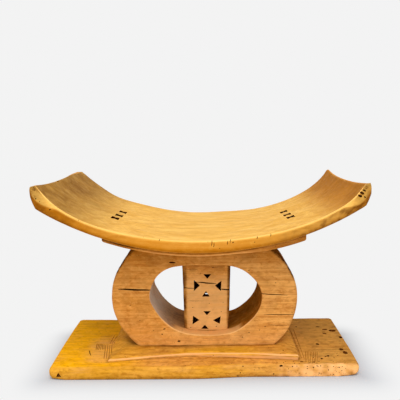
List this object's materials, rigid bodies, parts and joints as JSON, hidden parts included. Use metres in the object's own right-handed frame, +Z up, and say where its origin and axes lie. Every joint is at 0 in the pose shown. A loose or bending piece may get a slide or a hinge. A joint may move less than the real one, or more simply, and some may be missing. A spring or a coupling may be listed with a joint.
{
  "type": "ashanti stool",
  "caption": "Low carved wooden stool: a scooped seat on a pierced ring and hollow column, over a stepped flat base.",
  "frame": {"origin": "middle of the underside of the base, on the floor", "axes": "+X along the seat to the sitter's side, +Y away from the front, +Z up"},
  "size_m": [0.5716, 0.306, 0.3618],
  "materials": {
    "base_wood": "worn satin, waxed",
    "ring_wood": "satin, waxed",
    "seat_wood": "hand polished satin"
  },
  "bodies": {
    "root": {"base_board": "base_wood", "plinth_step": "base_wood", "ring_left_limb": "ring_wood", "ring_right_limb": "ring_wood", "ring_crown": "ring_wood", "ring_foot": "ring_wood", "centre_column": "ring_wood", "seat_ledge": "seat_wood", "seat": "seat_wood"}
  },
  "joints": []
}
